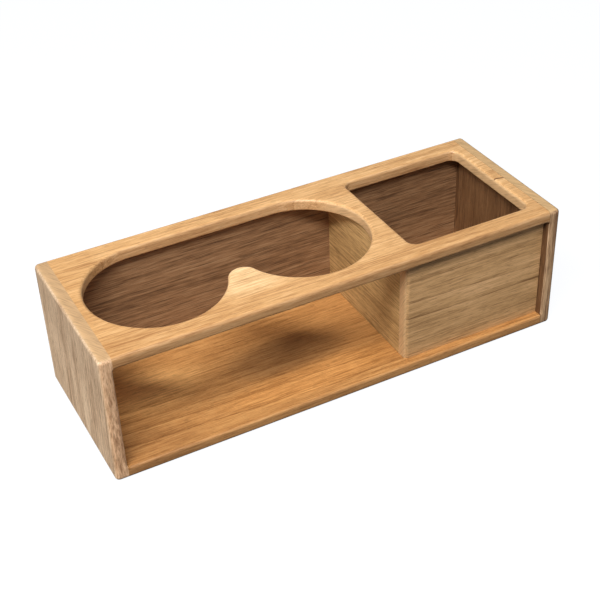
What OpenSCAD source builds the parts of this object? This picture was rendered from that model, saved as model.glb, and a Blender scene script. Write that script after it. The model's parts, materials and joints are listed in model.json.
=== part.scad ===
// Open-fronted teak box with a two-lobed opening, a square opening over a closed bin, and doweled joints.
// X runs along the case, Y from front to back and Z up.
// The origin is on the ground, at the middle of the base.

/* [Case] */
// Width of the case, over both end panels
case_w = 332; // [328:1:360]
// Depth of the case, front to back
case_d = 120; // [116:1:130]
// Height of the case
case_h = 95; // [80:1:120]
// Thickness of every board
board_t = 8.5; // [7.5:0.5:9]
// Radius of the case's outer edges
case_edge_r = 3; // [2:0.5:4]
// Radius of the inner edges round the open front
mouth_edge_r = 2; // [1:0.5:2.5]
// Radius of the bearing that the router followed into the corners of the open front
mouth_bearing_r = 2.4; // [2:0.1:4]

/* [Two-lobed opening] */
// Radius of each lobe
lobe_r = 46; // [43:0.5:46.5]
// Distance between the centres of the two lobes
lobe_spacing = 105; // [100:1:106]
// Middle of the two lobes, from the middle of the case
lobes_x = -53; // [-55:0.5:-52]
// Middle of both openings, from the middle of the case's depth
opening_y = -0.4; // [-1:0.1:0]
// Radius of the nose between the lobes
nose_r = 10.5; // [8:0.5:12]

/* [Square opening] */
// Width of the square opening
square_w = 93.5; // [80:0.5:93.5]
// Depth of the square opening
square_d = 91.5; // [80:0.5:92]
// Middle of the square opening, from the middle of the case
square_x = 103.2; // [103:0.1:104]
// Radius of its corners
square_corner_r = 6; // [4:0.5:10]

/* [Opening edges] */
// Radius of the upper edge of both openings
opening_edge_r = 2.5; // [1:0.5:3]

/* [Bin] */
// Left face of the divider, from the middle of the case
divider_x = 47.8; // [47:0.1:49]
// Distance from the front of the case to the face of the bin front panel
bin_setback = 5.9; // [4:0.1:7]
// Radius of the bin front panel's free upright edge
bin_edge_r = 3; // [1:0.5:3.5]

/* [Dowels] */
// Diameter of a dowel
dowel_d = 4; // [3:0.5:4.5]
// Length of a dowel
dowel_l = 16; // [14:1:20]
// Depth of a dowel in the face of a board
dowel_face_depth = 5; // [4:0.5:5.5]
// Glue gap round a dowel and past each of its ends
dowel_gap = 0.1; // [0.05:0.05:0.3]

/* [Hidden] */
$fn = 64;

teak_top = "#d9a566";
teak_end = "#b1916c";
teak_floor = "#c98d4b";
teak_back = "#7d5a3c";
teak_divider = "#9c7a4a";
teak_bin = "#a98355";
beech = "#dcc39a";

// Room by which a cutter runs past the face that it cuts
spare = 1;

// Faces of the case and of its boards
side_x = case_w / 2;
front_y = -case_d / 2;
back_y = case_d / 2;
inner_x = side_x - board_t;
floor_z = board_t;
ceiling_z = case_h - board_t;
back_panel_y = back_y - board_t;
bin_front_y = front_y + bin_setback;
bin_inner_y = bin_front_y + board_t;

// The nose is an arc that touches both lobes
lobe_to_nose = lobe_r + nose_r;
nose_drop = sqrt(lobe_to_nose * lobe_to_nose - lobe_spacing * lobe_spacing / 4);
nose_angle = atan2(nose_drop, lobe_spacing / 2);
// Angle, in degrees, that the nose's rounding leaves out at each end
tangent_gap = 0.05;

// Places of the dowels along their joints. The first and last are this far in from the case's front and back.
rail_inset = 7.5;
top_dowels_y = [front_y + rail_inset, back_y - rail_inset];
bottom_dowels_y = [front_y + rail_inset, 0, back_y - rail_inset];
upright_dowels_z = [0.3 * case_h, 0.7 * case_h];
divider_dowels_y = [-0.25 * case_d, 0.3 * case_d];

// Middles of the boards' thicknesses
top_mid_z = case_h - board_t / 2;
bottom_mid_z = board_t / 2;
back_mid_y = back_y - board_t / 2;
bin_mid_y = bin_front_y + board_t / 2;
divider_mid_x = divider_x + board_t / 2;

// ---- shapes that repeat ----

// A rectangle with its middle at the origin and its corners rounded
module rounded_rectangle(size, r) {
    core = size - [2, 2] * r;
    square([size.x, core.y], center = true);
    square([core.x, size.y], center = true);
    for (a = [-1, 1], b = [-1, 1])
        translate([a * core.x / 2, b * core.y / 2]) circle(r = r);
}

// A block with its middle at the origin and every edge rounded, which three crossed prisms share
module rounded_block(size, r) {
    intersection() {
        linear_extrude(size.z, center = true) rounded_rectangle([size.x, size.y], r);
        rotate([90, 0, 0]) linear_extrude(size.y, center = true) rounded_rectangle([size.x, size.z], r);
        rotate([90, 0, 90]) linear_extrude(size.x, center = true) rounded_rectangle([size.y, size.z], r);
    }
}

// The part of the rounded case that lies between two corners
module case_part(low, high) {
    intersection() {
        translate([0, 0, case_h / 2]) rounded_block([case_w, case_d, case_h], case_edge_r);
        translate(low) cube(high - low);
    }
}

// What rounding an edge takes away: the hole is at x < 0 and the board's face is at y = 0
module round_waste(r, inner) {
    difference() {
        translate([-inner, -r]) square([r + inner, r + spare]);
        translate([r, -r]) circle(r = r);
    }
}

// Waste along a straight edge that runs along X from the origin, with the hole at y < 0 and the face at z = 0
module straight_waste(length, r) {
    rotate([90, 0, 90]) linear_extrude(length) round_waste(r, spare);
}

// Waste round an arc of a hole, from one angle to another
module arc_waste(hole_r, from, to, r) {
    rotate([0, 0, from]) rotate_extrude(angle = to - from)
        translate([hole_r, 0]) round_waste(r, min(spare, hole_r));
}

// Waste round the whole edge of a rectangular hole
module rectangle_waste(size, corner_r, r) {
    for (turn = [0:3]) {
        half = turn % 2 == 0 ? size / 2 : [size.y, size.x] / 2;
        rotate([0, 0, 90 * turn]) {
            translate([corner_r - half.x, half.y, 0]) straight_waste(2 * (half.x - corner_r), r);
            translate([half.x - corner_r, half.y - corner_r, 0]) arc_waste(corner_r, 0, 90, r);
        }
    }
}

// ---- openings ----

// Outline of the two-lobed opening, with the nose at the front
module lobes_outline() {
    difference() {
        union() {
            for (side = [-1, 1])
                translate([side * lobe_spacing / 2, 0]) circle(r = lobe_r);
            translate([-lobe_spacing / 2, 0]) square([lobe_spacing, lobe_r]);
            polygon([[-lobe_spacing / 2, 0], [0, -nose_drop], [lobe_spacing / 2, 0]]);
        }
        translate([0, -nose_drop]) circle(r = nose_r);
    }
}

// Waste round the edge of the two-lobed opening
module lobes_waste(r) {
    translate([-lobe_spacing / 2, lobe_r, 0]) straight_waste(lobe_spacing, r);
    for (side = [0, 1]) mirror([side, 0, 0])
        translate([-lobe_spacing / 2, 0, 0]) arc_waste(lobe_r, 90, 360 - nose_angle, r);
    translate([0, -nose_drop, 0]) nose_waste(r);
}

// Waste round the nose, where the wood is inside the arc. It stops a hair short of the lobes' waste
// at each end, because edges that only touch there would leave the panel open.
module nose_waste(r) {
    from = nose_angle + tangent_gap;
    rotate([0, 0, from]) rotate_extrude(angle = 180 - 2 * from)
        translate([nose_r, 0]) mirror([1, 0]) round_waste(r, spare);
}

// The two-lobed opening, with its upper edge at z = 0
module lobes_opening() {
    translate([0, 0, -board_t - spare]) linear_extrude(board_t + 2 * spare) lobes_outline();
    lobes_waste(opening_edge_r);
}

// The square opening, with its upper edge at z = 0
module square_opening() {
    size = [square_w, square_d];
    translate([0, 0, -board_t - spare])
        linear_extrude(board_t + 2 * spare) rounded_rectangle(size, square_corner_r);
    rectangle_waste(size, square_corner_r, opening_edge_r);
}

// Waste round the inner edges of the open front. The boards meet in sharp corners, and the bearing
// turned short of them, so the rounding cuts across each corner in an arc.
module mouth_waste() {
    translate([0, front_y, case_h / 2]) rotate([90, 0, 0])
        rectangle_waste([2 * inner_x, ceiling_z - floor_z], mouth_bearing_r, mouth_edge_r);
}

// ---- dowels and their holes ----

// A dowel along Z with chamfered ends, its lower end at the origin
module dowel() {
    chamfer = dowel_d / 8;
    cylinder(d1 = dowel_d - 2 * chamfer, d2 = dowel_d, h = chamfer);
    translate([0, 0, chamfer]) cylinder(d = dowel_d, h = dowel_l - 2 * chamfer);
    translate([0, 0, dowel_l - chamfer]) cylinder(d1 = dowel_d, d2 = dowel_d - 2 * chamfer, h = chamfer);
}

// The hole that a dowel lies in, through the joint between two boards
module dowel_hole() {
    translate([0, 0, -dowel_gap]) cylinder(d = dowel_d + dowel_gap, h = dowel_l + 2 * dowel_gap);
}

// Each set of places holds what is in it, with its lower end in the face of the outer board.
// A set at the side of the case points inwards, and side is -1 on the left and 1 on the right.
module at_side(side, places_y, places_z) {
    for (y = places_y, z = places_z)
        translate([side * (inner_x + dowel_face_depth), y, z]) rotate([0, -90 * side, 0]) children();
}

module at_divider_edge(z, turn) {
    for (y = divider_dowels_y)
        translate([divider_mid_x, y, z]) rotate([turn, 0, 0]) children();
}

module at_divider_top() { at_divider_edge(ceiling_z + dowel_face_depth, 180) children(); }
module at_divider_bottom() { at_divider_edge(floor_z - dowel_face_depth, 0) children(); }

module at_divider_back() {
    for (z = upright_dowels_z)
        translate([divider_mid_x, back_panel_y + dowel_face_depth, z]) rotate([90, 0, 0]) children();
}

module at_divider_front() {
    for (z = upright_dowels_z)
        translate([divider_mid_x, bin_inner_y - dowel_face_depth, z]) rotate([-90, 0, 0]) children();
}

// ---- boards ----

module end_panel(side) {
    left_x = side < 0 ? -side_x : inner_x;
    color(teak_end) difference() {
        case_part([left_x, front_y, 0], [left_x + board_t, back_y, case_h]);
        mouth_waste();
        at_side(side, top_dowels_y, [top_mid_z]) dowel_hole();
        at_side(side, bottom_dowels_y, [bottom_mid_z]) dowel_hole();
        at_side(side, [back_mid_y], upright_dowels_z) dowel_hole();
        if (side > 0) at_side(side, [bin_mid_y], upright_dowels_z) dowel_hole();
    }
}

module left_end_panel() { end_panel(-1); }
module right_end_panel() { end_panel(1); }

module top_panel() {
    color(teak_top) difference() {
        case_part([-inner_x, front_y, ceiling_z], [inner_x, back_y, case_h]);
        translate([lobes_x, opening_y, case_h]) lobes_opening();
        translate([square_x, opening_y, case_h]) square_opening();
        mouth_waste();
        for (side = [-1, 1]) at_side(side, top_dowels_y, [top_mid_z]) dowel_hole();
        at_divider_top() dowel_hole();
    }
}

module bottom_panel() {
    color(teak_floor) difference() {
        case_part([-inner_x, front_y, 0], [inner_x, back_y, floor_z]);
        mouth_waste();
        for (side = [-1, 1]) at_side(side, bottom_dowels_y, [bottom_mid_z]) dowel_hole();
        at_divider_bottom() dowel_hole();
    }
}

module back_panel() {
    color(teak_back) difference() {
        translate([-inner_x, back_panel_y, floor_z]) cube([2 * inner_x, board_t, ceiling_z - floor_z]);
        for (side = [-1, 1]) at_side(side, [back_mid_y], upright_dowels_z) dowel_hole();
        at_divider_back() dowel_hole();
    }
}

module divider() {
    color(teak_divider) difference() {
        translate([divider_x, bin_inner_y, floor_z])
            cube([board_t, back_panel_y - bin_inner_y, ceiling_z - floor_z]);
        at_divider_top() dowel_hole();
        at_divider_bottom() dowel_hole();
        at_divider_back() dowel_hole();
        at_divider_front() dowel_hole();
    }
}

module bin_front_panel() {
    width = inner_x - divider_x;
    height = ceiling_z - floor_z;
    color(teak_bin) difference() {
        translate([divider_x, bin_front_y, floor_z]) cube([width, board_t, height]);
        translate([divider_x, bin_front_y, floor_z - spare]) upright_edge_waste(height + 2 * spare);
        at_side(1, [bin_mid_y], upright_dowels_z) dowel_hole();
        at_divider_front() dowel_hole();
    }
}

// What rounding the bin front panel's free upright edge takes away
module upright_edge_waste(height) {
    linear_extrude(height) difference() {
        translate([-spare, -spare]) square(bin_edge_r + spare);
        translate([bin_edge_r, bin_edge_r]) circle(r = bin_edge_r);
    }
}

// ---- dowels, one set to a joint ----

module top_left_dowels() { color(beech) at_side(-1, top_dowels_y, [top_mid_z]) dowel(); }
module top_right_dowels() { color(beech) at_side(1, top_dowels_y, [top_mid_z]) dowel(); }
module bottom_left_dowels() { color(beech) at_side(-1, bottom_dowels_y, [bottom_mid_z]) dowel(); }
module bottom_right_dowels() { color(beech) at_side(1, bottom_dowels_y, [bottom_mid_z]) dowel(); }
module back_left_dowels() { color(beech) at_side(-1, [back_mid_y], upright_dowels_z) dowel(); }
module back_right_dowels() { color(beech) at_side(1, [back_mid_y], upright_dowels_z) dowel(); }
module bin_right_dowels() { color(beech) at_side(1, [bin_mid_y], upright_dowels_z) dowel(); }
module divider_top_dowels() { color(beech) at_divider_top() dowel(); }
module divider_bottom_dowels() { color(beech) at_divider_bottom() dowel(); }
module divider_back_dowels() { color(beech) at_divider_back() dowel(); }
module divider_front_dowels() { color(beech) at_divider_front() dowel(); }

left_end_panel();
right_end_panel();
top_panel();
bottom_panel();
back_panel();
divider();
bin_front_panel();
top_left_dowels();
top_right_dowels();
bottom_left_dowels();
bottom_right_dowels();
back_left_dowels();
back_right_dowels();
divider_top_dowels();
divider_bottom_dowels();
divider_back_dowels();
divider_front_dowels();
bin_right_dowels();
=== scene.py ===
"""Looks of the wooden holder box: the camera, the light, the floor, the boards and their wood."""
import json
import math
from dataclasses import dataclass

import bmesh
import bpy
from mathutils import Matrix, Vector
from mathutils.geometry import tessellate_polygon


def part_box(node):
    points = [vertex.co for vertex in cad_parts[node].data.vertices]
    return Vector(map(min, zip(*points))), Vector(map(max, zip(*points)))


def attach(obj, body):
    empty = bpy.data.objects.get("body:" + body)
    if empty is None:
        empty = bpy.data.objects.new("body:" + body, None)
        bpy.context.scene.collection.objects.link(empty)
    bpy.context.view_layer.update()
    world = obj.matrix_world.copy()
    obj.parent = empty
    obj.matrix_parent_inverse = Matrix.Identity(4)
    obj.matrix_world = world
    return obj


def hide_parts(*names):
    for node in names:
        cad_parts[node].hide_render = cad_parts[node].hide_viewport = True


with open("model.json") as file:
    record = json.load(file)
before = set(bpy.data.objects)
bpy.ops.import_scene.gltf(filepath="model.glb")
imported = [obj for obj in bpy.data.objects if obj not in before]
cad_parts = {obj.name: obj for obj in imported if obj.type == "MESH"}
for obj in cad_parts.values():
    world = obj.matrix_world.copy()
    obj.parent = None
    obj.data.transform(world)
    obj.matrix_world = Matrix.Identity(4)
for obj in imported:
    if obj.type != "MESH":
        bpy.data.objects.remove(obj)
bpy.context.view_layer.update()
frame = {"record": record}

MM = 0.001
X, Y, Z = (1, 0, 0), (0, 1, 0), (0, 0, 1)


def node_box(node):
    """A CAD node's lowest and highest corner, in millimetres."""
    low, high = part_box(node)
    return low / MM, high / MM


# ---- sizes, in millimetres, most of them from the frame ----

left_low, left_high = node_box("left_end_panel")
right_low, right_high = node_box("right_end_panel")
top_low, top_high = node_box("top_panel")
bottom_low, bottom_high = node_box("bottom_panel")
back_low, back_high = node_box("back_panel")
divider_low, divider_high = node_box("divider")
bin_low, bin_high = node_box("bin_front_panel")

# radii of the case's outer edges, of the inner edges round the open front, of the router's bearing there,
# of the openings' upper and lower edges, and of the bin front's left and right edges
CASE_R = 3.0
MOUTH_R = 2.0
BEARING_R = 2.4
OPENING_R = 2.5
OPENING_UNDER_R = 1.4
BIN_LEFT_R = 3.0
BIN_RIGHT_R = 0.6
# how far every other edge is eased
EASE = 0.15

# the two openings, as in the CAD
LOBE_R = 46.0
LOBE_SPACING = 105.0
LOBES_X = -53.0
OPENING_Y = -0.4
NOSE_R = 10.5
SQUARE_SIZE = (93.5, 91.5)
SQUARE_X = 103.2
SQUARE_CORNER_R = 6.0

# steps in a rounded edge, in a lobe, in the nose, and in the mouth's rounding near a board's end
ROUND_STEPS = 8
LOBE_STEPS = 60
NOSE_STEPS = 24
CORNER_STEPS = 6
# edges sharper than this stay sharp, and points equal to this many decimals of a millimetre are one
SHARP_ANGLE = math.radians(40)
MERGE_DECIMALS = 4


# ---- light, in metres and watts, and the camera, in metres and degrees ----

KEY_FROM = (-35, -42, 79)
KEY_DISTANCE = 1.5
KEY_SIZE = (0.85, 0.28)
KEY_POWER = 27.0
FILL_PLACE = (-1.5, 0.25, 0.35)
FILL_SIZE = (0.8, 1.2)
FILL_POWER = 8.5
FLOOR_GLOW = 0.95
ROOM_ABOVE = (0.22, 0.22, 0.23)
ROOM_BELOW = (0.20, 0.19, 0.18)
LAMP_COLOUR = (1.0, 0.985, 0.96)
FLOOR_REACH = 20.0
FLOOR_PAINT = (0.10, 0.10, 0.10)
FLOOR_LIGHT = (0.97, 0.98, 1.0)

CAMERA_PLACE = (-0.3122, -0.6178, 0.5406)
CAMERA_YAW, CAMERA_PITCH, CAMERA_ROLL = 26.54, 35.73, -2.30
SENSOR_WIDTH = 36.0
LENS = 74.54


# ---- camera ----

def make_camera():
    """The camera, which looks down at the box from its front left."""
    yaw, pitch, roll = (math.radians(a) for a in (CAMERA_YAW, CAMERA_PITCH, CAMERA_ROLL))
    data = bpy.data.cameras.new("camera")
    data.sensor_width = SENSOR_WIDTH
    data.lens = LENS
    camera = bpy.data.objects.new("camera", data)
    aim = Matrix.Rotation(-yaw, 4, "Z") @ Matrix.Rotation(math.pi / 2 - pitch, 4, "X")
    camera.matrix_world = Matrix.Translation(CAMERA_PLACE) @ aim @ Matrix.Rotation(roll, 4, "Z")
    bpy.context.scene.collection.objects.link(camera)
    bpy.context.scene.camera = camera


# ---- mesh shapes ----

class Shell:
    """Points and faces of one board, in millimetres. Points that coincide are one point."""

    def __init__(self):
        self.points = []
        self.index = {}
        self.faces = []

    def point(self, co):
        key = tuple(round(c, MERGE_DECIMALS) for c in co)
        if key not in self.index:
            self.index[key] = len(self.points)
            self.points.append(tuple(co))
        return self.index[key]

    def face(self, corners):
        ids = []
        for co in corners:
            i = self.point(co)
            if i not in ids:
                ids.append(i)
        if len(ids) > 2:
            self.faces.append(ids)

    def strip(self, one, other, closed=True, skip=()):
        """Faces between two loops with as many points each, without the sides in skip."""
        n = len(one)
        for i in range(n if closed else n - 1):
            j = (i + 1) % n
            if i not in skip:
                self.face([one[i], one[j], other[j], other[i]])

    def area(self, outer, holes, place):
        """A flat area with holes, as triangles. place puts a 2-D point in space."""
        loops = [[Vector((*p, 0)) for p in loop] for loop in [outer] + holes]
        points = [p for loop in loops for p in loop]
        for triangle in tessellate_polygon(loops):
            self.face([place(points[i]) for i in triangle])

    def build(self, name):
        mesh = bpy.data.meshes.new(name)
        mesh.from_pydata([[c * MM for c in p] for p in self.points], [], self.faces)
        bm = bmesh.new()
        bm.from_mesh(mesh)
        bmesh.ops.recalc_face_normals(bm, faces=bm.faces)
        bm.to_mesh(mesh)
        bm.free()
        mesh.shade_smooth()
        mesh.set_sharp_from_angle(angle=SHARP_ANGLE)
        obj = bpy.data.objects.new(name, mesh)
        bpy.context.scene.collection.objects.link(obj)
        weigh = obj.modifiers.new("even_shading", "WEIGHTED_NORMAL")
        weigh.keep_sharp = True
        weigh.weight = 100
        return obj


def arc(centre, radius, start, end, steps):
    """Points along an arc, with its angles in degrees."""
    turn = [math.radians(start + (end - start) * i / steps) for i in range(steps + 1)]
    return [(centre[0] + radius * math.cos(a), centre[1] + radius * math.sin(a)) for a in turn]


def rounded_rectangle(low, high, radii, inset=0.0):
    """An outline with a radius for each corner, counterclockwise from the upper right one."""
    corners = [
        (high[0], high[1], -1, -1),
        (low[0], high[1], 1, -1),
        (low[0], low[1], 1, 1),
        (high[0], low[1], -1, 1),
    ]
    outline = []
    for quarter, ((x, y, sx, sy), radius) in enumerate(zip(corners, radii)):
        r = max(radius, inset)
        outline += arc((x + sx * r, y + sy * r), r - inset, 90 * quarter, 90 * quarter + 90, ROUND_STEPS)
    return outline


def quarter_profile(radius):
    """(inset, depth) pairs along a rounded edge, from one face to the other."""
    angles = [math.pi / 2 * i / ROUND_STEPS for i in range(ROUND_STEPS + 1)]
    return [(radius * (1 - math.sin(a)), radius * (1 - math.cos(a))) for a in angles]


def lobes_outline(grow):
    """The two-lobed opening, grown outwards."""
    drop = math.sqrt((LOBE_R + NOSE_R) ** 2 - LOBE_SPACING ** 2 / 4)
    tilt = math.degrees(math.atan2(drop, LOBE_SPACING / 2))
    left = arc((LOBES_X - LOBE_SPACING / 2, OPENING_Y), LOBE_R + grow, 90, 360 - tilt, LOBE_STEPS)
    nose = arc((LOBES_X, OPENING_Y - drop), NOSE_R - grow, 180 - tilt, tilt, NOSE_STEPS)
    right = arc((LOBES_X + LOBE_SPACING / 2, OPENING_Y), LOBE_R + grow, 180 + tilt, 450, LOBE_STEPS)
    return left[:-1] + nose[:-1] + right


def square_outline(grow):
    """The square opening, grown outwards."""
    half = [s / 2 + grow for s in SQUARE_SIZE]
    low = (SQUARE_X - half[0], OPENING_Y - half[1])
    high = (SQUARE_X + half[0], OPENING_Y + half[1])
    return rounded_rectangle(low, high, [SQUARE_CORNER_R + grow] * 4)


def mouth_stations(low, high):
    """Places along X where a board's mouth edge bends, as the bearing turned away from it near each end."""
    angles = [math.pi / 2 * i / CORNER_STEPS for i in range(CORNER_STEPS + 1)]
    reach = [(BEARING_R - EASE) * (1 - math.cos(a)) for a in angles]
    return [low[0] + EASE + r for r in reach] + [high[0] - EASE - r for r in reversed(reach)]


def loft_along_x(shell, low, high, radii, mouth=None, skip=()):
    """A board with a rounded section in Y and Z, and eased ends in X.

    mouth is the height of the face that looks into the open front, where the rounding follows the bearing
    near the board's ends. The sides in skip are left open.
    """
    def section(x, inset=0.0):
        away = BEARING_R - min(x - low[0], high[0] - x)
        outline = rounded_rectangle(low[1:], high[1:], radii, inset)
        if mouth is None or away <= 0:
            return [(x, y, z) for y, z in outline]
        return [(x, y, bend(y, z, away)) for y, z in outline]

    def bend(y, z, away):
        lift = abs(z - mouth)
        if lift > MOUTH_R + EASE / 2 or y > low[1] + MOUTH_R:
            return z
        inward = math.sqrt((BEARING_R + lift) ** 2 - away ** 2) - BEARING_R
        return mouth + math.copysign(max(0.0, inward), z - mouth)

    stations = mouth_stations(low, high)
    loops = [section(low[0], EASE)] + [section(x) for x in stations] + [section(high[0], EASE)]
    shell.face(loops[0])
    shell.strip(loops[0], loops[1])
    for one, other in zip(loops[1:-1], loops[2:-1]):
        shell.strip(one, other, skip=skip)
    shell.strip(loops[-2], loops[-1])
    shell.face(loops[-1])


def loft_along_z(shell, low, high, radii):
    """A board with a rounded section in X and Y, and eased ends in Z."""
    places = [(low[2], EASE), (low[2] + EASE, 0), (high[2] - EASE, 0), (high[2], EASE)]
    outlines = [(z, rounded_rectangle(low[:2], high[:2], radii, inset)) for z, inset in places]
    loops = [[(x, y, z) for x, y in outline] for z, outline in outlines]
    shell.face(loops[0])
    for one, other in zip(loops, loops[1:]):
        shell.strip(one, other)
    shell.face(loops[-1])


# ---- boards ----

def make_top_panel():
    """The top panel. Its loft leaves out the upper and under sides, which the openings go through."""
    shell = Shell()
    radii = [CASE_R, CASE_R, MOUTH_R, EASE]
    upper_side = ROUND_STEPS
    under_side = 3 * (ROUND_STEPS + 1) - 1
    loft_along_x(shell, top_low, top_high, radii, top_low.z, skip=(upper_side, under_side))
    for outline in (lobes_outline, square_outline):
        rings = [[(x, y, top_high.z - depth) for x, y in outline(inset)]
                 for inset, depth in quarter_profile(OPENING_R)]
        rings += [[(x, y, top_low.z + depth) for x, y in outline(inset)]
                  for inset, depth in reversed(quarter_profile(OPENING_UNDER_R))]
        for one, other in zip(rings, rings[1:]):
            shell.strip(one, other)
    stations = mouth_stations(top_low, top_high)
    sides = (
        (top_high.z, top_low.y + CASE_R, top_high.y - CASE_R, OPENING_R),
        (top_low.z, top_low.y + MOUTH_R, top_high.y - EASE, OPENING_UNDER_R),
    )
    for z, front_y, back_y, grow in sides:
        outer = [(x, front_y) for x in stations] + [(x, back_y) for x in reversed(stations)]
        shell.area(outer, [lobes_outline(grow), square_outline(grow)], lambda p: (p.x, p.y, z))
    return shell.build("top_board")


def make_bottom_panel():
    """The bottom panel, rounded along the mouth and along its lower edges."""
    shell = Shell()
    loft_along_x(shell, bottom_low, bottom_high, [EASE, MOUTH_R, CASE_R, CASE_R], bottom_high.z)
    return shell.build("bottom_board")


def make_back_panel():
    """The back panel, a plain board between the end panels."""
    shell = Shell()
    loft_along_x(shell, back_low, back_high, [EASE] * 4)
    return shell.build("back_board")


def make_divider():
    """The divider between the open compartment and the bin."""
    shell = Shell()
    loft_along_z(shell, divider_low, divider_high, [EASE] * 4)
    return shell.build("divider_board")


def make_bin_front():
    """The bin's front, with its free left edge rounded."""
    shell = Shell()
    loft_along_z(shell, bin_low, bin_high, [EASE, EASE, BIN_LEFT_R, BIN_RIGHT_R])
    return shell.build("bin_front_board")


def mouth_curves(inner_x, front_y, mouth_low, mouth_high):
    """Curves along an end panel's rounded edge at the open front, from the outermost to the deepest."""
    turn_x = inner_x + BEARING_R
    curves = []
    for inset, depth in quarter_profile(MOUTH_R):
        radius = BEARING_R + inset
        reach = math.degrees(math.acos(BEARING_R / radius))
        lower = arc((turn_x, mouth_low + BEARING_R), radius, 180 + reach, 180, ROUND_STEPS)
        upper = arc((turn_x, mouth_high - BEARING_R), radius, 180, 180 - reach, ROUND_STEPS)
        curves.append([(x, front_y + depth, z) for x, z in lower + upper])
    return curves


def make_end_panel(name, side):
    """An end panel, worked out for the left end. side is -1 there, and 1 for the mirror image."""
    outer_x = -right_high.x
    inner_x = -right_low.x
    y0, y1 = left_low.y, left_high.y
    z0, z1 = left_low.z, left_high.z
    shell = Shell()

    def turned(x, y, z):
        return side * -x, y, z

    def section(x, inset):
        outline = rounded_rectangle((y0, z0), (y1, z1), [CASE_R] * 4, inset)
        return [turned(x, y, z) for y, z in outline]

    rounded = [section(outer_x + depth, inset) for inset, depth in quarter_profile(CASE_R)]
    shell.face(rounded[0])
    for one, other in zip(rounded, rounded[1:]):
        shell.strip(one, other)
    front_side = 2 * (ROUND_STEPS + 1) - 1
    inner = section(inner_x, 0)
    shell.strip(rounded[-1], inner, skip=(front_side,))

    mouth = mouth_curves(inner_x, y0, bottom_high.z, top_low.z)
    curves = [[turned(*place) for place in curve] for curve in mouth]
    for one, other in zip(curves, curves[1:]):
        shell.strip(one, other, closed=False)

    # the flat front edge and the inner face, which both end at the rounding
    corner_x = outer_x + CASE_R
    foot = [turned(corner_x, y0, z0 + CASE_R), turned(inner_x, y0, z0 + CASE_R)]
    head = [turned(inner_x, y0, z1 - CASE_R), turned(corner_x, y0, z1 - CASE_R)]
    shell.face(foot + curves[0] + head)
    inner_edge = [curve[0] for curve in curves] + [curve[-1] for curve in reversed(curves)]
    below, above = inner[:front_side + 1], inner[front_side + 1:]
    shell.face(inner_edge + list(reversed(below)) + list(reversed(above)))
    return shell.build(name)


# ---- wood ----

class Tree:
    """A node tree, with one short call for each kind of node that the materials use."""

    def __init__(self, tree):
        self.tree = tree

    def add(self, kind, inputs=None, **settings):
        """A node with these settings. An input is a number, a colour, a vector or a node's output."""
        node = self.tree.nodes.new(kind)
        for name, value in settings.items():
            setattr(node, name, value)
        for name, value in (inputs or {}).items():
            self.feed(node.inputs[name], value)
        return node

    def feed(self, socket, value):
        if isinstance(value, bpy.types.NodeSocket):
            self.tree.links.new(value, socket)
        else:
            socket.default_value = value

    def math(self, operation, *values):
        node = self.add("ShaderNodeMath", operation=operation)
        for socket, value in zip(node.inputs, values):
            self.feed(socket, value)
        return node.outputs[0]

    def total(self, *terms):
        """The sum of (value, weight) pairs."""
        result = 0.0
        for value, weight in terms:
            result = self.math("MULTIPLY_ADD", value, weight, result)
        return result

    def dot(self, vector, direction):
        node = self.add("ShaderNodeVectorMath", {0: vector, 1: direction}, operation="DOT_PRODUCT")
        return node.outputs["Value"]

    def vector(self, x, y, z):
        return self.add("ShaderNodeCombineXYZ", {"X": x, "Y": y, "Z": z}).outputs[0]

    def scaled(self, vector, factors):
        return self.add("ShaderNodeVectorMath", {0: vector, 1: factors}, operation="MULTIPLY").outputs[0]

    def noise(self, vector, detail=2.0, roughness=0.5, distortion=0.0):
        """Noise around 0.5, with features about one unit long."""
        shape = {"Detail": detail, "Roughness": roughness, "Distortion": distortion}
        return self.add("ShaderNodeTexNoise", {"Vector": vector, "Scale": 1.0, **shape}).outputs["Fac"]

    def fade(self, value, start, end):
        """A smooth change from zero at start to one at end."""
        inputs = {"Value": value, "From Min": start, "From Max": end}
        return self.add("ShaderNodeMapRange", inputs, interpolation_type="SMOOTHSTEP").outputs["Result"]

    def ramp(self, value, stops):
        """Colours or greys by place along a ramp."""
        node = self.add("ShaderNodeValToRGB", {"Fac": value})
        elements = node.color_ramp.elements
        elements.remove(elements[1])
        elements[0].position = stops[0][0]
        for place, _ in stops[1:]:
            elements.new(place)
        for element, (_, colour) in zip(elements, stops):
            element.color = (*colour, 1) if isinstance(colour, tuple) else (colour, colour, colour, 1)
        return node.outputs["Color"]

    def mix(self, factor, one, other, blend="MIX"):
        node = self.add("ShaderNodeMix", data_type="RGBA", blend_type=blend, clamp_result=True)
        self.feed(node.inputs[0], factor)
        self.feed(node.inputs[6], one if isinstance(one, bpy.types.NodeSocket) else (*one, 1))
        self.feed(node.inputs[7], other if isinstance(other, bpy.types.NodeSocket) else (*other, 1))
        return node.outputs[2]


@dataclass
class Line:
    """A strong growth line. middle is its place across the board where the place along it is zero."""
    middle: float
    slope: float
    width: float
    strength: float


@dataclass
class Patch:
    """A soft patch of another tint: an ellipse about a place along and across the board."""
    along: float
    across: float
    half_length: float
    half_width: float
    tint: tuple
    slope: float = 0.0


@dataclass
class ToneAndShadeZone:
    """Another tint past a distance, none of it at start and all of it at end. side is across or depth. On
    the top it darkens the front strip's tone; on the right end it is painted shade on the inner face.
    """
    side: str
    start: float
    end: float
    tint: tuple


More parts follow.
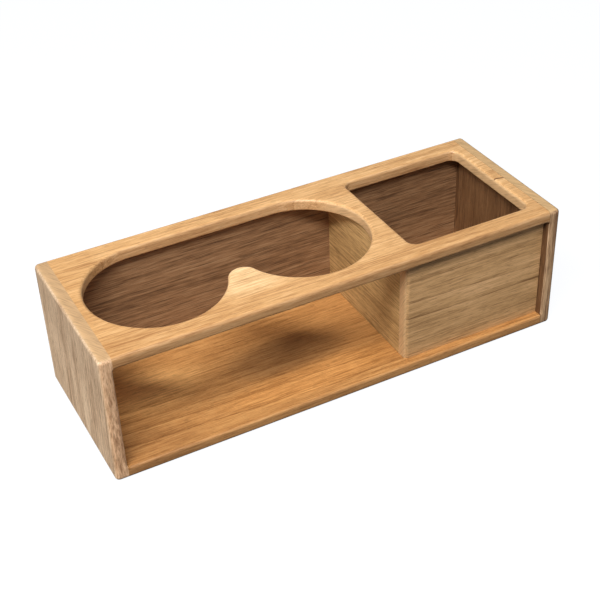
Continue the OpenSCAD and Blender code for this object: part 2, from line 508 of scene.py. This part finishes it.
@dataclass
class Wood:
    """How one board was cut and how it is coloured. Lengths are in millimetres."""
    # directions of the grain, across the board and through its thickness
    along: tuple
    across: tuple
    depth: tuple
    # colours from the darkest streak to the lightest
    dark: tuple
    middle: tuple
    light: tuple
    # a number that sets this board's pattern apart from the others'
    seed: float = 0.0
    # the tree's centre, across and in depth, the width of a growth ring and how far rings differ in tone
    pith: tuple = (-150.0, -90.0)
    ring_width: float = 9.0
    rings: float = 0.12
    # how strongly ring edges, streaks, pores, broad mottling and ray flecks show
    line: float = 0.10
    streaks: float = 1.0
    pores: float = 0.35
    mottle: float = 0.5
    flecks: float = 0.0
    roughness: float = 0.48
    pore_length: float = 6.0
    pore_width: float = 0.6
    lines: tuple = ()
    patches: tuple = ()
    tone_and_shade_zone: ToneAndShadeZone = None
    # painted light and shade on surfaces that face the front, as a tint, and the colour of the end grain
    front_light_and_shade_tint: tuple = (1.0, 1.0, 1.0)
    end_grain: tuple = (0.60, 0.38, 0.19)


# sizes of the wood's features, in millimetres along the grain, across it and in depth
WAVER_SIZE = (90, 30, 30)
MOTTLE_SIZE = (60, 14, 14)
STREAK_SIZE = (60, 1.7, 1.7)
FIBRE_SIZE = (14, 0.8, 0.8)
FLECK_SIZE = (1.1, 3.5, 3.5)
# the whole range that rings and strong lines waver over, and how far apart two seeds cut the pattern
RING_WAVER = 12
LINE_WAVER = 6.0
SEED_STEP = 1000
# a growth ring's tone from one side of its edge to the other, as (place, tone) around 0.5
RING_PROFILE = [(0.0, 0.5), (0.40, 0.62), (0.47, 0.58), (0.5, 0.0), (0.62, 0.26), (1.0, 0.5)]
PORE_SHADE = 0.45
WEAR = 0.08
# painted contact shade at the foot of the box: its tint, and the heights in millimetres between which it
# fades out
FOOT_SHADE_TINT = (0.45, 0.38, 0.34)
FOOT_FROM, FOOT_TO = 0.2, 2.2
BUMP_STRENGTH = 0.35
BUMP_HEIGHT = 0.12 * MM
OILED_IOR = 1.47


def shaded(colour, factor):
    """A colour made darker or lighter, and no lighter than white."""
    return tuple(min(1.0, factor * c) for c in colour)


class WoodTree(Tree):
    """The node tree of one board's wood, with its places in millimetres along, across and in depth."""

    def __init__(self, tree, wood):
        super().__init__(tree)
        self.wood = wood
        place = self.add("ShaderNodeTexCoord").outputs
        self.object = place["Object"]
        self.normal = place["Normal"]
        self.along, self.across, self.depth = (
            self.dot(self.object, tuple(Vector(direction).normalized() / MM))
            for direction in (wood.along, wood.across, wood.depth)
        )
        moved = self.math("ADD", self.along, SEED_STEP * wood.seed)
        self.grain = self.vector(moved, self.across, self.depth)
        self.waver = self.centred(self.grain_noise(WAVER_SIZE, detail=3))

    def centred(self, value):
        return self.math("SUBTRACT", value, 0.5)

    def squared(self, value):
        return self.math("MULTIPLY", value, value)

    def tinted(self, factor, colour, tint):
        """The colour, multiplied by the tint where the factor is one."""
        return self.mix(factor, colour, self.mix(1.0, colour, tint, blend="MULTIPLY"))

    def grain_noise(self, size, **settings):
        """Noise whose features have this size along the grain, across it and in depth."""
        return self.noise(self.scaled(self.grain, tuple(1 / s for s in size)), **settings)

    def ring_line(self, offset, width):
        """A growth ring's edge, around zero: a paler band, a thin dark line and a slow return."""
        place = self.total((offset, 0.5 / width), (0.5, 1.0))
        return self.centred(self.ramp(place, RING_PROFILE))

    def rings(self):
        """Growth rings about the pith, which waver along the board: each ring's tone and its edge."""
        wood = self.wood
        u = self.math("SUBTRACT", self.across, wood.pith[0])
        v = self.math("SUBTRACT", self.depth, wood.pith[1])
        radius = self.math("SQRT", self.total((self.squared(u), 1.0), (self.squared(v), 1.0)))
        count = self.total(
            (radius, 1 / wood.ring_width),
            (self.waver, RING_WAVER / wood.ring_width),
            (wood.seed, 7.3),
        )
        slow = {"W": count, "Scale": 0.45, "Detail": 1.0}
        uneven = self.add("ShaderNodeTexNoise", slow, noise_dimensions="1D").outputs["Fac"]
        count = self.total((count, 1.0), (uneven, 1.6))
        whole = {"W": self.math("FLOOR", count)}
        tone = self.add("ShaderNodeTexWhiteNoise", whole, noise_dimensions="1D").outputs["Value"]
        within = self.math("FRACT", count)
        nearest = self.math("SUBTRACT", within, self.math("ROUND", within))
        return self.centred(tone), self.ring_line(nearest, 0.5)

    def edges(self, ring_edge):
        """The edges of the growth rings, with the strong lines over them."""
        pairs = [(ring_edge, self.wood.line)]
        for line in self.wood.lines:
            straight = ((self.across, 1.0), (self.along, -line.slope))
            offset = self.total(*straight, (self.waver, LINE_WAVER), (-line.middle, 1.0))
            pairs.append((self.ring_line(offset, line.width), line.strength))
        return self.total(*pairs)

    def with_tone_and_shade_zone(self, colour, tone_and_shade_zone):
        """The colour with the zone's tint past its start: a darker tone on the top, painted shade on the
        right end.
        """
        distance = {"across": self.across, "depth": self.depth}[tone_and_shade_zone.side]
        reach = self.total((distance, 1.0), (self.waver, 3 * abs(tone_and_shade_zone.end - tone_and_shade_zone.start)))
        return self.tinted(self.fade(reach, tone_and_shade_zone.start, tone_and_shade_zone.end), colour, tone_and_shade_zone.tint)

    def with_patch(self, colour, patch):
        """The colour with one patch, which fades out towards its edge."""
        ahead = self.total((self.along, 1 / patch.half_length), (-patch.along, 1 / patch.half_length))
        aside = self.total((self.across, 1.0), (self.along, -patch.slope),
                           (patch.slope * patch.along - patch.across, 1.0))
        reach = self.total((self.squared(ahead), 1.0), (self.squared(aside), 1 / patch.half_width ** 2))
        return self.tinted(self.fade(reach, 1.0, 0.2), colour, patch.tint)

    def with_end_grain(self, colour):
        """The colour with end grain on the ends: the rings cut across show as a fine slanting hatch."""
        wood = self.wood
        ends = self.math("ABSOLUTE", self.dot(self.normal, tuple(Vector(wood.along).normalized())))
        over = self.total((self.across, 0.5), (self.depth, 0.9))
        beside = self.total((self.across, 0.06), (self.depth, -0.04))
        hatch = self.noise(self.vector(over, beside, wood.seed), detail=3, roughness=0.6)
        cut = self.ramp(hatch, [(0.25, shaded(wood.end_grain, 0.62)), (0.5, wood.end_grain),
                                (0.75, shaded(wood.end_grain, 1.2))])
        return self.mix(self.fade(ends, 0.6, 0.9), colour, cut)

    def with_painted_light_and_shade(self, colour):
        """The colour with painted light and shade on the surfaces that face the front, and painted contact
        shade darkening the foot.
        """
        front = self.fade(self.dot(self.normal, (0, -1, 0)), 0.4, 0.9)
        colour = self.tinted(front, colour, self.wood.front_light_and_shade_tint)
        height = self.dot(self.object, (0, 0, 1 / MM))
        return self.tinted(self.fade(height, FOOT_TO, FOOT_FROM), colour, FOOT_SHADE_TINT)

    def worn(self, broad):
        """Where the wood has worn paler and smoother: on its rounded edges, in places."""
        facing = self.add("ShaderNodeSeparateXYZ", {"Vector": self.normal}).outputs["Z"]
        slant = self.total((self.squared(facing), 2.0), (-1.0, 1.0))
        worn = self.math("SUBTRACT", 1.0, self.math("ABSOLUTE", slant))
        return self.math("MULTIPLY", worn, self.fade(broad, 0.35, 0.6))

    def coloured(self, shade, pore, worn):
        """The board's colour: a ramp by shade, then the tone and painted shade zone, pores, patches, end
        grain, painted light and shade on the front and foot, and wear.
        """
        wood = self.wood
        colour = self.ramp(shade, [(0.0, wood.dark), (0.5, wood.middle), (1.0, wood.light)])
        if wood.tone_and_shade_zone:
            colour = self.with_tone_and_shade_zone(colour, wood.tone_and_shade_zone)
        colour = self.mix(self.math("MULTIPLY", pore, wood.pores), colour, shaded(wood.dark, PORE_SHADE))
        for patch in wood.patches:
            colour = self.with_patch(colour, patch)
        colour = self.with_painted_light_and_shade(self.with_end_grain(colour))
        return self.mix(self.math("MULTIPLY", worn, WEAR), colour, shaded(wood.light, 1.12))


def make_wood(name, wood):
    """Solid wood with growth rings, streaks, pores and ray flecks, and roughness and bump from them."""
    material = bpy.data.materials.new(name)
    material.use_nodes = True
    t = WoodTree(material.node_tree, wood)
    tone, ring_edge = t.rings()
    edge = t.edges(ring_edge)
    broad = t.grain_noise(MOTTLE_SIZE, detail=3)
    streak = t.grain_noise(STREAK_SIZE, detail=5, roughness=0.75, distortion=0.1)
    fibre = t.grain_noise(FIBRE_SIZE, detail=3, roughness=0.7)
    vessel = t.grain_noise((wood.pore_length, wood.pore_width, wood.pore_width), detail=2, roughness=0.4)
    pore = t.fade(vessel, 0.58, 0.70)
    fleck = t.fade(t.grain_noise(FLECK_SIZE, detail=2), 0.5, 0.75)
    worn = t.worn(broad)

    shade = t.total((0.5, 1.0),
                    (tone, wood.rings),
                    (t.centred(broad), wood.mottle),
                    (t.centred(streak), wood.streaks),
                    (t.centred(fibre), wood.streaks),
                    (edge, 1.0),
                    (fleck, wood.flecks))
    rough = t.total((wood.roughness, 1.0), (t.centred(fibre), 0.25), (pore, 0.2), (worn, -0.08))
    relief = t.total((fibre, 0.25), (streak, 0.35), (pore, -0.6), (edge, 0.6))
    bump = t.add("ShaderNodeBump", {"Strength": BUMP_STRENGTH, "Distance": BUMP_HEIGHT, "Height": relief})
    shader = t.tree.nodes["Principled BSDF"]
    t.feed(shader.inputs["Base Color"], t.coloured(shade, pore, worn))
    t.feed(shader.inputs["Roughness"], rough)
    t.feed(shader.inputs["Normal"], bump.outputs["Normal"])
    shader.inputs["IOR"].default_value = OILED_IOR
    return material


# the left end panel's grain leans towards the front as it rises
LEAN = math.tan(math.radians(7))
# each wood's tint for surfaces that face the front paints light and shade onto them
WOODS = {
    "left_end_panel": Wood(
        along=(0, -LEAN, 1), across=(0, 1, LEAN), depth=X,
        dark=(0.38, 0.22, 0.12), middle=(0.74, 0.52, 0.33), light=(0.96, 0.73, 0.50),
        seed=1.0, rings=0.25, line=0.12, mottle=0.9, streaks=1.9, pores=0.5,
        patches=(Patch(105.0, 0.0, 62.0, 200.0, (0.84, 0.83, 0.82)),),
        front_light_and_shade_tint=(1.0, 0.88, 0.80), end_grain=(0.52, 0.33, 0.17),
    ),
    "right_end_panel": Wood(
        along=Z, across=Y, depth=X,
        dark=(0.20, 0.11, 0.06), middle=(0.50, 0.33, 0.19), light=(0.72, 0.51, 0.32),
        seed=2.0, ring_width=5.0, rings=0.5, line=0.3, streaks=2.0,
        # the inner face that looks into the bin is darkened here: painted shade
        tone_and_shade_zone=ToneAndShadeZone("depth", 157.8, 157.6, (0.32, 0.23, 0.16)),
        front_light_and_shade_tint=(1.1, 1.05, 1.0), end_grain=(0.60, 0.39, 0.19),
    ),
    "top_panel": Wood(
        along=X, across=Y, depth=Z,
        dark=(0.42, 0.20, 0.073), middle=(0.71, 0.41, 0.172), light=(0.91, 0.60, 0.31),
        seed=3.0, rings=0.15, line=0.15, streaks=1.6, pores=0.3,
        lines=(Line(42.0, 0.012, 1.2, 0.6),),
        # the pale nose, the darker left end and the crack at the right
        patches=(
            Patch(-53.0, -22.0, 42.0, 24.0, (1.2, 1.36, 1.6)),
            Patch(-160.0, 0.0, 55.0, 75.0, (0.88, 0.84, 0.78)),
            Patch(153.0, -4.8, 9.0, 0.9, (0.22, 0.15, 0.10), slope=-0.23),
        ),
        tone_and_shade_zone=ToneAndShadeZone("across", -38.0, -56.0, (0.84, 0.79, 0.73)),
        front_light_and_shade_tint=(0.78, 0.77, 0.82),
    ),
    "bottom_panel": Wood(
        along=X, across=Y, depth=Z,
        dark=(0.24, 0.095, 0.022), middle=(0.50, 0.235, 0.073), light=(0.68, 0.36, 0.125),
        seed=4.0, streaks=1.4, flecks=0.08,
        lines=(
            Line(-18.0, -0.05, 5.0, 0.5),
            Line(-37.0, -0.045, 4.0, 0.6),
            Line(-28.0, -0.05, 4.0, 0.5),
            Line(-50.0, -0.05, 4.0, 0.6),
        ),
        # painted light and shade on the floor: a painted pool of light at the back left, painted shade at
        # both ends of the front beside the walls, a painted pool of light between them, and the nose's
        # painted shadow
        patches=(
            Patch(-122.0, 3.0, 52.0, 27.0, (1.5, 1.63, 1.76)),
            Patch(-150.0, -52.0, 60.0, 28.0, (0.84, 0.83, 0.84)),
            Patch(55.0, -35.0, 40.0, 22.0, (0.84, 0.82, 0.78)),
            Patch(-15.0, -38.0, 80.0, 18.0, (1.22, 1.2, 1.14)),
            Patch(-20.0, -8.0, 55.0, 24.0, (0.72, 0.72, 0.75)),
        ),
        front_light_and_shade_tint=(0.94, 0.98, 1.12),
    ),
    "back_panel": Wood(
        along=X, across=Z, depth=Y,
        dark=(0.09, 0.044, 0.021), middle=(0.265, 0.14, 0.067), light=(0.40, 0.24, 0.125),
        seed=5.0, streaks=1.7, pores=0.8, pore_length=26.0, pore_width=0.55,
    ),
    "divider": Wood(
        along=Y, across=Z, depth=X,
        dark=(0.21, 0.115, 0.04), middle=(0.50, 0.31, 0.125), light=(0.72, 0.47, 0.21),
        seed=6.0, streaks=1.8,
    ),
    "bin_front_panel": Wood(
        along=X, across=Z, depth=Y,
        dark=(0.24, 0.125, 0.05), middle=(0.56, 0.33, 0.145), light=(0.78, 0.48, 0.24),
        seed=7.0, streaks=1.4, mottle=0.8,
        lines=(
            Line(42.0, -0.02, 4.0, 1.1),
            Line(54.5, -0.02, 3.0, 1.0),
            Line(71.5, -0.02, 3.0, 0.8),
        ),
    ),
}
BEECH = Wood(
    along=X, across=Y, depth=Z,
    dark=(0.45, 0.31, 0.17), middle=(0.62, 0.46, 0.28), light=(0.74, 0.58, 0.38),
    seed=8.0, ring_width=3.0, rings=0.2, streaks=0.8, pores=0.2, flecks=0.15,
)


# ---- floor and light ----

def make_floor():
    """A floor that the camera sees lit from below, as on a light table, while the box doesn't."""
    mesh = bpy.data.meshes.new("floor")
    corners = [(sx * FLOOR_REACH, sy * FLOOR_REACH, 0) for sx, sy in ((-1, -1), (1, -1), (1, 1), (-1, 1))]
    mesh.from_pydata(corners, [], [(0, 1, 2, 3)])
    floor = bpy.data.objects.new("floor", mesh)
    bpy.context.scene.collection.objects.link(floor)
    material = bpy.data.materials.new("floor_paint")
    material.use_nodes = True
    shader = material.node_tree.nodes["Principled BSDF"]
    shader.inputs["Base Color"].default_value = (*FLOOR_PAINT, 1)
    shader.inputs["Roughness"].default_value = 0.9
    shader.inputs["Specular IOR Level"].default_value = 0.0
    shader.inputs["Emission Color"].default_value = (*FLOOR_LIGHT, 1)
    t = Tree(material.node_tree)
    seen = t.add("ShaderNodeLightPath").outputs["Is Camera Ray"]
    t.feed(shader.inputs["Emission Strength"], t.math("MULTIPLY", seen, FLOOR_GLOW))
    floor.data.materials.append(material)


def add_area(name, place, size, power):
    """A soft rectangular light that points at the foot of the box."""
    data = bpy.data.lights.new(name, "AREA")
    data.shape = "RECTANGLE"
    data.size, data.size_y = size
    data.energy = power
    data.color = LAMP_COLOUR
    light = bpy.data.objects.new(name, data)
    light.location = place
    light.rotation_euler = place.to_track_quat("Z", "Y").to_euler()
    bpy.context.scene.collection.objects.link(light)


def make_light():
    """A large soft key light from the front left and above, a fill from the left, and a dim room."""
    add_area("key", Vector(KEY_FROM).normalized() * KEY_DISTANCE, KEY_SIZE, KEY_POWER)
    add_area("fill", Vector(FILL_PLACE), FILL_SIZE, FILL_POWER)

    world = bpy.data.worlds.new("studio")
    bpy.context.scene.world = world
    world.use_nodes = True
    t = Tree(world.node_tree)
    direction = t.add("ShaderNodeTexCoord").outputs["Generated"]
    height = t.add("ShaderNodeSeparateXYZ", {"Vector": direction}).outputs["Z"]
    colour = t.ramp(t.fade(height, -0.15, 0.25), [(0.0, ROOM_BELOW), (1.0, ROOM_ABOVE)])
    t.feed(t.tree.nodes["Background"].inputs["Color"], colour)
    bpy.context.scene.view_settings.view_transform = "Standard"


# ---- the scene ----

make_camera()
boards = {
    "left_end_panel": make_end_panel("left_end_board", -1),
    "right_end_panel": make_end_panel("right_end_board", 1),
    "top_panel": make_top_panel(),
    "bottom_panel": make_bottom_panel(),
    "back_panel": make_back_panel(),
    "divider": make_divider(),
    "bin_front_panel": make_bin_front(),
}
slots = {part["node"]: part["material_slot"] for part in frame["record"]["subparts"]}
for node, piece in boards.items():
    piece.data.materials.append(make_wood(node + "_wood", WOODS[node]))
    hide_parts(node)
    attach(piece, "root")

# the dowels stay as the CAD has them, in another wood
beech = make_wood("beech_wood", BEECH)
for node in slots:
    if node not in boards:
        for slot in bpy.data.objects[node].material_slots:
            slot.material = beech

make_floor()
make_light()
